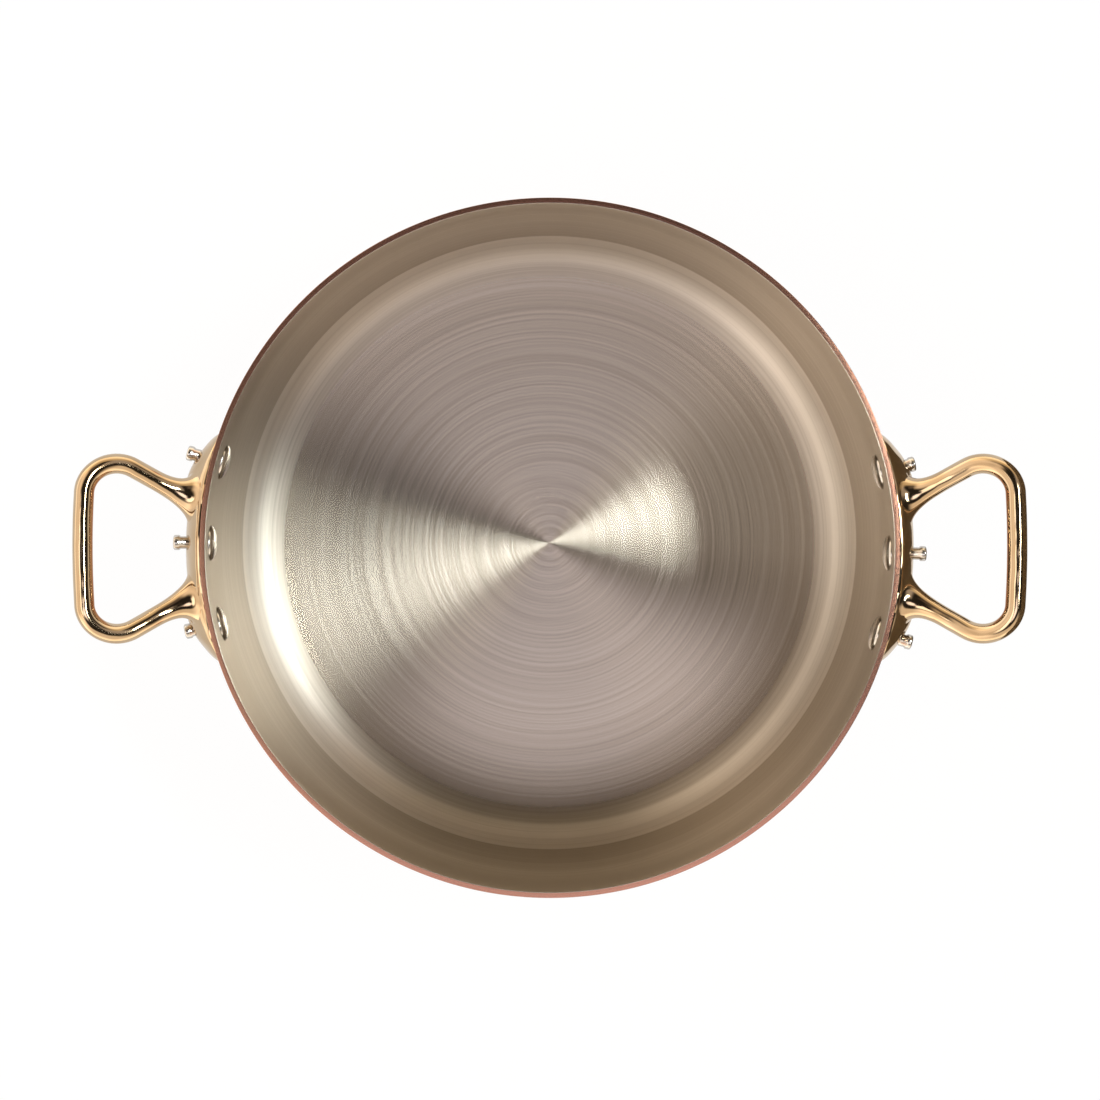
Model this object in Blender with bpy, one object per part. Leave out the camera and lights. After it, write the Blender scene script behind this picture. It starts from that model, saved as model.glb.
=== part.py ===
"""Round copper stew pot with a steel lining and two cast loop handles, each held by three rivets.

Metres, +Z up. The origin is the middle of the base, on the surface that the pot stands on,
and the two handles lie along X. Each visible object is one separate piece of the real pot.
"""

import math

import bmesh
import bpy
from mathutils import Matrix, Vector

# Pot: a sheet of copper with a thin bonded layer of steel, drawn into a straight-sided pot.
POT_RADIUS = 0.120
POT_HEIGHT = 0.127
COPPER_THICKNESS = 0.0016
STEEL_THICKNESS = 0.0003
BOND_GAP = 0.0001
FLOOR_CORNER_RADIUS = 0.014
RIM_ROUNDING = 0.0005
POT_SEGMENTS = 96
CORNER_STEPS = 7
RIM_STEPS = 2

# Clearance between pieces that touch on the real pot.
SEAT_GAP = 0.0002

# Edges sharper than this stay sharp when a piece is shaded.
SHARP_EDGE_ANGLE = math.radians(35)

# Rivets: domed head inside the pot, plain tail outside the handle. The middle one is the highest,
# and all three sit a little to one side of the handle's middle.
RIVET_SHANK_RADIUS = 0.00265
RIVET_HEAD_RADIUS = 0.0062
RIVET_HEAD_HEIGHT = 0.0022
RIVET_TAIL_LENGTH = 0.0042
RIVET_TAIL_CHAMFER = 0.0004
RIVET_SEGMENTS = 20
HEAD_STEPS = 5
RIVET_SPACING = 0.029
RIVET_SHIFT = -0.0018
CENTRE_RIVET_DEPTH = 0.0125
SIDE_RIVET_DROP = 0.0045

# Flange: the plate of the handle that lies on the wall. Its lobes are round about the rivets.
FLANGE_THICKNESS = 0.0062
FLANGE_CENTRE_HALF_HEIGHT = 0.0100
FLANGE_LOBE_RADIUS = 0.0116
FLANGE_EDGE_SHARE = 0.30
FLANGE_SLOPE_SHARE = 0.55
FLANGE_SWELL = 0.0018
FLANGE_SWELL_OFFSET = 0.0220
FLANGE_SWELL_SPREAD = 0.0140
FLANGE_LOBE_STEPS = 8
FLANGE_EDGE_STEPS = 14
FLANGE_RINGS = 5

# Loop: the round bar that the hand takes, seen from above as a rounded trapezium.
BAR_RADIUS = 0.00345
LOOP_REACH = 0.0388
LEG_FOOT_OFFSET = 0.0170
LEG_FOOT_DEPTH = 0.0115
LEG_ANGLE = math.radians(30.5)
LOOP_CORNER_RADIUS = 0.0105
LOOP_RISE = math.radians(27.0)
BAR_BOW = 0.0005
BAR_SIDES = 16
LEG_STEPS = 3
LOOP_CORNER_STEPS = 8
BAR_STEPS = 4

# Root: where a leg of the loop spreads and runs smoothly into the flange, its foot just inside it.
ROOT_LENGTH = 0.0075
ROOT_HALF_WIDTH = 0.0080
ROOT_HALF_HEIGHT = 0.0062
ROOT_ROUNDNESS = 0.5
ROOT_SINK = 0.00015
ROOT_STEPS = 5

# Colours as linear RGB, with roughness.
COPPER = ((0.78, 0.36, 0.22), 0.16)
STEEL = ((0.56, 0.52, 0.46), 0.32)
BRASS = ((0.83, 0.56, 0.22), 0.12)
RIVET_STEEL = ((0.58, 0.56, 0.53), 0.25)

WALL_THICKNESS = COPPER_THICKNESS + BOND_GAP + STEEL_THICKNESS
INNER_RADIUS = POT_RADIUS - WALL_THICKNESS
HANDLE_SIDES = {"left": math.pi, "right": 0.0}
RIVET_PLACES = {1: -1.0, 2: 0.0, 3: 1.0}


def clear_scene():
    """Remove every object that the file opened with."""
    for obj in list(bpy.data.objects):
        bpy.data.objects.remove(obj)


def metal(name, finish):
    """A polished or brushed metal of one colour."""
    colour, roughness = finish
    material = bpy.data.materials.new(name)
    material.use_nodes = True
    shader = material.node_tree.nodes["Principled BSDF"]
    shader.inputs["Base Color"].default_value = (*colour, 1.0)
    shader.inputs["Metallic"].default_value = 1.0
    shader.inputs["Roughness"].default_value = roughness
    return material


def add_object(name, mesh, material=None):
    """Put a mesh into the scene as a named object."""
    obj = bpy.data.objects.new(name, mesh)
    bpy.context.scene.collection.objects.link(obj)
    if material:
        mesh.materials.append(material)
    return obj


def make_helper(obj):
    """Mark an object as a cutter or a guide, which is not a piece of the pot."""
    obj.hide_render = True
    obj.display_type = "WIRE"
    return obj


def smooth(obj):
    """Shade the round faces smooth and leave real edges sharp."""
    obj.data.shade_smooth()
    obj.data.set_sharp_from_angle(angle=SHARP_EDGE_ANGLE)


def mesh_from(shape, name):
    """Turn a finished shape into a mesh whose faces point outwards."""
    bmesh.ops.recalc_face_normals(shape, faces=shape.faces)
    mesh = bpy.data.meshes.new(name)
    shape.to_mesh(mesh)
    shape.free()
    return mesh


def arc(centre_r, centre_z, radius, start, end, steps):
    """Points (r, z) along an arc, both ends included. Angles run from +r towards +z."""
    angles = [start + (end - start) * i / steps for i in range(steps + 1)]
    return [(centre_r + radius * math.cos(a), centre_z + radius * math.sin(a)) for a in angles]


def turned_mesh(name, profile, segments):
    """Turn a profile of (r, z) points, which starts and ends on the axis, about the Z axis."""
    shape = bmesh.new()
    turns = [2 * math.pi * i / segments for i in range(segments)]
    rings = []
    for r, z in profile:
        if r == 0:
            rings.append([shape.verts.new((0, 0, z))] * segments)
        else:
            rings.append([shape.verts.new((r * math.cos(a), r * math.sin(a), z)) for a in turns])
    for low, high in zip(rings, rings[1:]):
        for i in range(segments):
            j = (i + 1) % segments
            # A ring on the axis is one point, so its faces have three different corners.
            corners = dict.fromkeys((low[i], low[j], high[j], high[i]))
            shape.faces.new(list(corners))
    return mesh_from(shape, name)


def pot_side(inset):
    """Profile of a face this far inside the pot's outer face, from the floor's middle to the wall's foot."""
    radius = POT_RADIUS - inset
    corner = FLOOR_CORNER_RADIUS + WALL_THICKNESS - inset
    bend = arc(radius - corner, inset + corner, corner, -math.pi / 2, 0, CORNER_STEPS)
    return [(0, inset)] + bend


def copper_profile():
    """Inner face of the copper, over the rounded rim and down its outer face."""
    inside = pot_side(COPPER_THICKNESS)
    top = [(POT_RADIUS - COPPER_THICKNESS, POT_HEIGHT)]
    rounding = (POT_RADIUS - RIM_ROUNDING, POT_HEIGHT - RIM_ROUNDING, RIM_ROUNDING)
    top += arc(*rounding, math.pi / 2, 0, RIM_STEPS)
    return inside + top + pot_side(0.0)[::-1]


def steel_profile():
    """Inner face of the steel, over its cut edge and down the face that is bonded to the copper."""
    bond = COPPER_THICKNESS + BOND_GAP
    top = [(INNER_RADIUS, POT_HEIGHT), (POT_RADIUS - bond, POT_HEIGHT)]
    return pot_side(WALL_THICKNESS) + top + pot_side(bond)[::-1]


def rivet_angle(place):
    """Angle round the pot of a rivet, from the handle's middle. The spacing is taken along the wall."""
    return (RIVET_PLACES[place] * RIVET_SPACING + RIVET_SHIFT) / POT_RADIUS


def rivet_height(place):
    """Height of a rivet's axis above the surface that the pot stands on."""
    return POT_HEIGHT - CENTRE_RIVET_DEPTH - SIDE_RIVET_DROP * abs(RIVET_PLACES[place])


def radial_frame(angle, height):
    """Frame whose Z axis points outwards through the wall at this angle and height."""
    outwards = Matrix.Rotation(math.pi / 2, 4, "Y")
    return Matrix.Rotation(angle, 4, "Z") @ Matrix.Translation((0, 0, height)) @ outwards


def head_seat():
    """Distance from the pot's axis to the flat underside of a rivet head on the curved wall."""
    return math.sqrt(INNER_RADIUS**2 - RIVET_HEAD_RADIUS**2) - SEAT_GAP


def tail_end():
    """Distance from the pot's axis to the end of a rivet's tail."""
    return POT_RADIUS + SEAT_GAP + FLANGE_THICKNESS + RIVET_TAIL_LENGTH


def rivet_profile():
    """Profile of a rivet from the top of its dome to the end of its tail."""
    dome_radius = (RIVET_HEAD_RADIUS**2 + RIVET_HEAD_HEIGHT**2) / (2 * RIVET_HEAD_HEIGHT)
    dome_angle = 2 * math.atan(RIVET_HEAD_HEIGHT / RIVET_HEAD_RADIUS)
    dome_centre = head_seat() - RIVET_HEAD_HEIGHT + dome_radius
    down = -math.pi / 2
    dome = arc(0, dome_centre, dome_radius, down, down + dome_angle, HEAD_STEPS)
    head = [(0, head_seat() - RIVET_HEAD_HEIGHT)] + dome[1:]
    end = tail_end()
    tail = [
        (RIVET_SHANK_RADIUS, head_seat()),
        (RIVET_SHANK_RADIUS, end - RIVET_TAIL_CHAMFER),
        (RIVET_SHANK_RADIUS - RIVET_TAIL_CHAMFER, end),
        (0, end),
    ]
    return head + tail


def add_rivet(side, place, material):
    """One rivet through the wall and the handle's flange."""
    mesh = turned_mesh("rivet", rivet_profile(), RIVET_SEGMENTS)
    rivet = add_object(f"rivet_{side}_{place}", mesh, material)
    rivet.matrix_world = radial_frame(HANDLE_SIDES[side] + rivet_angle(place), rivet_height(place))
    smooth(rivet)
    return rivet


def add_bore_cutters():
    """One cutter for each rivet hole, long enough to cut the wall and the flange together."""
    bores = bpy.data.collections.new("rivet_bores")
    bpy.context.scene.collection.children.link(bores)
    radius = RIVET_SHANK_RADIUS + SEAT_GAP
    start = head_seat() - RIVET_HEAD_HEIGHT
    profile = [(0, start), (radius, start), (radius, tail_end()), (0, tail_end())]
    for side, turn in HANDLE_SIDES.items():
        for place in RIVET_PLACES:
            mesh = turned_mesh("bore", profile, RIVET_SEGMENTS)
            cutter = bpy.data.objects.new(f"bore_{side}_{place}", mesh)
            bores.objects.link(cutter)
            cutter.matrix_world = radial_frame(turn + rivet_angle(place), rivet_height(place))
            make_helper(cutter)
    return bores


def cut_bores(obj, bores):
    """Drill every rivet hole that passes through this piece."""
    boolean = obj.modifiers.new("rivet holes", "BOOLEAN")
    boolean.operation = "DIFFERENCE"
    boolean.operand_type = "COLLECTION"
    boolean.collection = bores
    boolean.solver = "EXACT"


def add_pot(bores, copper, steel):
    """The copper shell and, just inside it, the steel lining."""
    for name, profile, material in (
        ("copper_shell", copper_profile(), copper),
        ("steel_lining", steel_profile(), steel),
    ):
        obj = add_object(name, turned_mesh(name, profile, POT_SEGMENTS), material)
        smooth(obj)
        cut_bores(obj, bores)


def flange_spine(s):
    """Height of the flange's middle line at s along the wall: level at the centre, lower at the lobes."""
    return POT_HEIGHT - CENTRE_RIVET_DEPTH - SIDE_RIVET_DROP * min(abs(s) / RIVET_SPACING, 1.0) ** 2


def flange_half_height(s):
    """Half the height of the flange at s along the wall, between the middles of the two lobes."""
    share = min(abs(s) / RIVET_SPACING, 1.0)
    return FLANGE_CENTRE_HALF_HEIGHT + (FLANGE_LOBE_RADIUS - FLANGE_CENTRE_HALF_HEIGHT) * share**2


def flange_depth(s, share):
    """Depth of the flange's outer face outside the wall. The share is 0 at the spine and 1 at the edge."""
    away = min(abs(abs(s) - FLANGE_SWELL_OFFSET) / FLANGE_SWELL_SPREAD, 1.0)
    full = FLANGE_THICKNESS + FLANGE_SWELL * (1 + math.cos(math.pi * away)) / 2
    across = 1 - min((1 - share) / FLANGE_SLOPE_SHARE, 1.0)
    edge = FLANGE_EDGE_SHARE * FLANGE_THICKNESS
    return SEAT_GAP + edge + (full - edge) * math.sqrt(1 - across**2)


def flange_outline():
    """Points (s, z) round the flange's edge, each in a pair after the point of the spine nearest to it."""
    pairs = []
    for sign in (1, -1):
        for i in range(FLANGE_EDGE_STEPS):
            s = sign * RIVET_SPACING * (2 * i / FLANGE_EDGE_STEPS - 1)
            spine = Vector((s, flange_spine(s)))
            pairs.append((spine, spine + Vector((0, sign * flange_half_height(s)))))
        hub = Vector((sign * RIVET_SPACING, flange_spine(RIVET_SPACING)))
        for i in range(FLANGE_LOBE_STEPS):
            a = sign * math.pi / 2 - math.pi * i / FLANGE_LOBE_STEPS
            pairs.append((hub, hub + FLANGE_LOBE_RADIUS * Vector((math.cos(a), math.sin(a)))))
    return pairs


def on_wall(s, z, depth):
    """Point of the handle at s along the wall, z up and this far outside the wall's face."""
    angle = s / POT_RADIUS
    radius = POT_RADIUS + depth
    return Vector((radius * math.cos(angle), radius * math.sin(angle), z))


def join_rings(shape, rings):
    """Add each ring of points and the faces between one ring and the next. Returns the rings' vertices."""
    rows = [[shape.verts.new(point) for point in ring] for ring in rings]
    for low, high in zip(rows, rows[1:]):
        for i in range(len(low)):
            j = (i + 1) % len(low)
            shape.faces.new((low[i], low[j], high[j], high[i]))
    return rows


def flange_mesh():
    """The flange as rings that run in from its edge and rise in a quarter ellipse to full thickness."""
    pairs = flange_outline()
    rings = [[on_wall(edge.x, edge.y, -WALL_THICKNESS) for _, edge in pairs]]
    for i in range(FLANGE_RINGS + 1):
        share = 1 - FLANGE_SLOPE_SHARE * (1 - math.cos(math.pi / 2 * i / FLANGE_RINGS))
        points = [spine.lerp(edge, share) for spine, edge in pairs]
        rings.append([on_wall(p.x, p.y, flange_depth(p.x, share)) for p in points])
    shape = bmesh.new()
    rows = join_rings(shape, rings)
    half = FLANGE_EDGE_STEPS + FLANGE_LOBE_STEPS
    for row in (rows[0], rows[-1]):
        upper = row[: FLANGE_EDGE_STEPS + 1]
        lower = row[half : half + FLANGE_EDGE_STEPS + 1][::-1]
        for i in range(FLANGE_EDGE_STEPS):
            shape.faces.new((upper[i], upper[i + 1], lower[i + 1], lower[i]))
        shape.faces.new(row[FLANGE_EDGE_STEPS : half + 1])
        shape.faces.new(row[half + FLANGE_EDGE_STEPS :] + row[:1])
    return mesh_from(shape, "flange")


def leg_foot():
    """Point on the flange's outer face where the middle line of a leg comes out of it."""
    depth = flange_depth(LEG_FOOT_OFFSET, 0.0)
    return on_wall(LEG_FOOT_OFFSET, POT_HEIGHT - LEG_FOOT_DEPTH, depth)


def loop_point(x, y):
    """Point of the loop's plane, which passes through the feet of both legs and rises outwards."""
    foot = leg_foot()
    return Vector((x, y, foot.z + (x - foot.x) * math.tan(LOOP_RISE)))


def leg_direction():
    """Direction in which a leg runs out from the flange."""
    return Vector((1.0, math.tan(LEG_ANGLE), math.tan(LOOP_RISE))).normalized()


def loop_line():
    """Middle line of half the loop, from where a leg leaves its root to the middle of the bar."""
    slope = math.tan(LEG_ANGLE)
    foot = leg_foot()
    bar_x = POT_RADIUS + LOOP_REACH
    centre_x = bar_x - LOOP_CORNER_RADIUS
    touch_x = centre_x - LOOP_CORNER_RADIUS * math.sin(LEG_ANGLE)
    touch_y = foot.y + slope * (touch_x - foot.x)
    centre_y = touch_y - LOOP_CORNER_RADIUS * math.cos(LEG_ANGLE)
    start_x = (foot + leg_direction() * ROOT_LENGTH).x
    points = []
    for i in range(LEG_STEPS):
        x = start_x + (touch_x - start_x) * i / LEG_STEPS
        points.append(loop_point(x, foot.y + slope * (x - foot.x)))
    turn = math.pi / 2 + LEG_ANGLE
    for i in range(LOOP_CORNER_STEPS + 1):
        a = turn * (1 - i / LOOP_CORNER_STEPS)
        x = centre_x + LOOP_CORNER_RADIUS * math.cos(a)
        points.append(loop_point(x, centre_y + LOOP_CORNER_RADIUS * math.sin(a)))
    for i in range(1, BAR_STEPS + 1):
        share = 1 - i / BAR_STEPS
        points.append(loop_point(bar_x + BAR_BOW * (1 - share**2), centre_y * share))
    return points


def bar_ring(middle, along):
    """Points round the bar at one place, given the direction in which the bar runs there."""
    across = Vector((-math.sin(LOOP_RISE), 0, math.cos(LOOP_RISE)))
    aside = across.cross(along).normalized()
    turns = [2 * math.pi * i / BAR_SIDES for i in range(BAR_SIDES)]
    return [middle + BAR_RADIUS * (aside * math.cos(a) + across * math.sin(a)) for a in turns]


def root_rings(first):
    """Rings of a leg's root, from the wall through the flange up to the leg's first ring.

    Outside the flange each side is a Bezier curve, which leaves the flange along its face and
    reaches the leg along its middle line.
    """
    run_in = leg_direction() * ROOT_LENGTH * ROOT_ROUNDNESS
    rings = [[] for _ in range(ROOT_STEPS + 1)]
    for i, top in enumerate(first):
        a = 2 * math.pi * i / BAR_SIDES
        side = Vector((ROOT_HALF_WIDTH * math.cos(a), ROOT_HALF_HEIGHT * math.sin(a)))
        edge = Vector((LEG_FOOT_OFFSET, leg_foot().z)) + side
        share = min(abs(edge.y - flange_spine(edge.x)) / flange_half_height(edge.x), 1.0)
        depth = flange_depth(edge.x, share)
        inner = edge - side * (1 - ROOT_ROUNDNESS)
        foot = on_wall(edge.x, edge.y, depth - ROOT_SINK)
        spread = on_wall(inner.x, inner.y, depth + ROOT_SINK)
        rings[0].append(on_wall(edge.x, edge.y, 0.0))
        for k in range(ROOT_STEPS):
            t = k / ROOT_STEPS
            below = foot * (1 - t) ** 3 + spread * 3 * t * (1 - t) ** 2
            above = (top - run_in) * 3 * t**2 * (1 - t) + top * t**3
            rings[k + 1].append(below + above)
    return rings


def loop_mesh():
    """The whole loop: the bar with a spreading root at each end."""
    other_side = Vector((1, -1, 1))
    line = loop_line()
    before = [line[0]] + line[:-1]
    after = line[1:] + [line[-2] * other_side]
    rings = [bar_ring(middle, b - a) for middle, a, b in zip(line, before, after)]
    rings = root_rings(rings[0]) + rings
    mirrored = [[point * other_side for point in ring] for ring in rings[-2::-1]]
    shape = bmesh.new()
    rows = join_rings(shape, rings + mirrored)
    for row in (rows[0], rows[-1]):
        shape.faces.new(row)
    return mesh_from(shape, "loop")


def seat_cutter():
    """A cylinder that shapes the back of the flange to the pot's wall. Its flats lie just clear of it."""
    radius = (POT_RADIUS + SEAT_GAP) / math.cos(math.pi / POT_SEGMENTS)
    top = POT_HEIGHT + LOOP_REACH
    profile = [(0, 0), (radius, 0), (radius, top), (0, top)]
    return make_helper(add_object("seat_cutter", turned_mesh("seat_cutter", profile, POT_SEGMENTS)))


def add_handle(side, seat, bores, material):
    """One cast handle: flange and loop in one piece, hollowed to the wall and drilled for its rivets."""
    turn = Matrix.Rotation(HANDLE_SIDES[side], 4, "Z")
    loop = make_helper(add_object(f"loop_{side}", loop_mesh()))
    loop.matrix_world = turn
    handle = add_object(f"handle_{side}", flange_mesh(), material)
    handle.matrix_world = turn
    for operation, other in (("UNION", loop), ("DIFFERENCE", seat)):
        boolean = handle.modifiers.new(operation.lower(), "BOOLEAN")
        boolean.operation = operation
        boolean.object = other
        boolean.solver = "EXACT"
    cut_bores(handle, bores)
    smooth(handle)
    return handle


def build_pot():
    """Build every piece of the stew pot."""
    clear_scene()
    copper = metal("polished copper", COPPER)
    steel = metal("brushed steel", STEEL)
    brass = metal("polished brass", BRASS)
    rivet_steel = metal("rivet steel", RIVET_STEEL)
    bores = add_bore_cutters()
    add_pot(bores, copper, steel)
    seat = seat_cutter()
    for side in HANDLE_SIDES:
        add_handle(side, seat, bores, brass)
        for place in RIVET_PLACES:
            add_rivet(side, place, rivet_steel)


build_pot()
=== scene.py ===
"""Looks of a round copper stew pot with a brushed steel lining and two riveted, cast loop handles.

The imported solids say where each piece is. Every piece here stands for one of them: it is worked out again
as a finer surface and then dressed. Metres, +Z up, the base's middle at the origin and the handles along X.
"""

import logging
import math
from dataclasses import dataclass, replace
from enum import Enum

import bmesh
import bpy
import numpy as np
from mathutils import Matrix, Vector


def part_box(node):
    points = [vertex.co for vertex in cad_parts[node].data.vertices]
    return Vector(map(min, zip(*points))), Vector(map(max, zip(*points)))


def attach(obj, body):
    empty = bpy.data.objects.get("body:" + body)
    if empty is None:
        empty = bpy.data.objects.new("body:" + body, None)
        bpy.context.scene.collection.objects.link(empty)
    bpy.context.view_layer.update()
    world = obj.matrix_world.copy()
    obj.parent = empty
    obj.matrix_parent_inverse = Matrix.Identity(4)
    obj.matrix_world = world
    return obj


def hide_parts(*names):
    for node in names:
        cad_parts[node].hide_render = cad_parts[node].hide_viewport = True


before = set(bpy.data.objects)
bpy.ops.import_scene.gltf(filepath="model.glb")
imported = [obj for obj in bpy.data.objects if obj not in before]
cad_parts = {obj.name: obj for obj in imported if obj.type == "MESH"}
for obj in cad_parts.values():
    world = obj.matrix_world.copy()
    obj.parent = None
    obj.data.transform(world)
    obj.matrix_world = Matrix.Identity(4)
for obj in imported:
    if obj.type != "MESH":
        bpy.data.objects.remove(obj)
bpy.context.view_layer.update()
LOG = logging.getLogger("stew_pot")
SHARP_EDGE_ANGLE = math.radians(38)
WELD_DISTANCE = 1e-7
FULL_TURN = 2 * math.pi
NOISE_LOW = 0.3
NOISE_HIGH = 0.7


class Side(Enum):
    """The side of the pot that a handle is on."""

    LEFT = "left"
    RIGHT = "right"

    @property
    def sign(self) -> float:
        """Sign of X on this side. The left handle is the right one after half a turn."""
        return 1.0 if self is Side.RIGHT else -1.0


class Slot(Enum):
    """Material slots of the record."""

    COPPER = "copper"
    STEEL = "steel"
    HANDLE = "handle_metal"
    RIVET = "rivet_steel"


# Surfaces


def arc(centre: tuple[float, float], radius: float, start: float, end: float, steps: int) -> np.ndarray:
    """Points along a circular arc, both ends included: centre + radius (cos a, sin a).

    Args:
        centre: The arc's centre as (r, z).
        radius: Its radius.
        start: Angle of the first point, from +r towards +z.
        end: Angle of the last point.
        steps: Number of steps between them.

    Returns:
        Array of (r, z) points.
    """
    angle = np.linspace(start, end, steps + 1)
    return np.array(centre) + radius * np.stack([np.cos(angle), np.sin(angle)], axis=-1)


def line(start: tuple[float, float], end: tuple[float, float], steps: int) -> np.ndarray:
    """Points along a straight line without its last one, which the next stretch starts with.

    Args:
        start: First point as (r, z).
        end: Point that the line leads to.
        steps: Number of points.

    Returns:
        Array of (r, z) points.
    """
    return np.linspace(start, end, steps, endpoint=False)


def run_length(points: np.ndarray) -> float:
    """Length of a run of points in metres: the sum of the distances from each to the next."""
    return float(np.linalg.norm(np.diff(points, axis=0), axis=-1).sum())


def turned(profile: np.ndarray, segments: int) -> np.ndarray:
    """Turn a profile about the Z axis: (r cos a, r sin a, z) for a going once round.

    Args:
        profile: Array of (r, z) points, from one end on the axis to the other.
        segments: Number of steps round.

    Returns:
        Grid of points, a row for each point of the profile.
    """
    angle = np.linspace(0, FULL_TURN, segments, endpoint=False)
    r = profile[:, :1]
    z = np.broadcast_to(profile[:, 1:], (len(profile), segments))
    return np.stack([r * np.cos(angle), r * np.sin(angle), z], axis=-1)


def grid_faces(rows: int, columns: int) -> np.ndarray:
    """Corner numbers of the faces of a grid whose columns wrap round.

    Args:
        rows: Number of rows.
        columns: Number of columns.

    Returns:
        Array with four corner numbers for each face.
    """
    i = np.arange(rows - 1)[:, None] * columns
    j = np.arange(columns)[None, :]
    k = (j + 1) % columns
    return np.stack([i + j, i + k, i + columns + k, i + columns + j], axis=-1).reshape(-1, 4)


def grid_uv(points: np.ndarray) -> np.ndarray:
    """UV of each face corner of a grid.

    u is the mean distance in metres from the first row, and v the share of a turn.

    Args:
        points: Grid of points.

    Returns:
        Array of (u, v), four for each face.
    """
    rows, columns = points.shape[:2]
    steps = np.linalg.norm(np.diff(points, axis=0), axis=-1).mean(axis=1)
    along = np.concatenate([[0.0], np.cumsum(steps)])
    around = np.arange(columns + 1) / columns
    low = np.broadcast_to(along[:-1, None], (rows - 1, columns))
    high = np.broadcast_to(along[1:, None], (rows - 1, columns))
    left = np.broadcast_to(around[:-1], (rows - 1, columns))
    right = np.broadcast_to(around[1:], (rows - 1, columns))
    u = np.stack([low, low, high, high], axis=-1)
    v = np.stack([left, right, right, left], axis=-1)
    return np.stack([u, v], axis=-1).reshape(-1, 2)


def make_piece(
    name: str,
    grids: list[np.ndarray],
    material: bpy.types.Material,
    node: str,
) -> bpy.types.Object:
    """Make one smooth, closed piece from grids of points, and let it stand for a CAD node.

    Rows of points that meet, at a pole or along a spine, are welded, and the faces are turned outwards.

    Args:
        name: The piece's name.
        grids: Grids of points, each a closed surface.
        material: The piece's material.
        node: The CAD node that it replaces.

    Returns:
        The finished object.
    """
    counts = np.cumsum([0] + [grid[..., 0].size for grid in grids])
    faces = [grid_faces(*grid.shape[:2]) + count for grid, count in zip(grids, counts)]
    points = np.concatenate([grid.reshape(-1, 3) for grid in grids])
    mesh = bpy.data.meshes.new(name)
    mesh.from_pydata(points.tolist(), [], np.concatenate(faces).tolist())
    layer = mesh.uv_layers.new(name="surface")
    layer.data.foreach_set("uv", np.concatenate([grid_uv(grid) for grid in grids]).ravel())
    shape = bmesh.new()
    shape.from_mesh(mesh)
    bmesh.ops.remove_doubles(shape, verts=shape.verts, dist=WELD_DISTANCE)
    bmesh.ops.recalc_face_normals(shape, faces=shape.faces)
    shape.to_mesh(mesh)
    shape.free()
    mesh.materials.append(material)
    mesh.shade_smooth()
    mesh.set_sharp_from_angle(angle=SHARP_EDGE_ANGLE)
    piece = bpy.data.objects.new(name, mesh)
    bpy.context.scene.collection.objects.link(piece)
    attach(piece, "root")
    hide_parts(node)
    LOG.info("%s: %d faces, stands for %s", name, len(mesh.polygons), node)
    return piece


# Finishes


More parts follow.
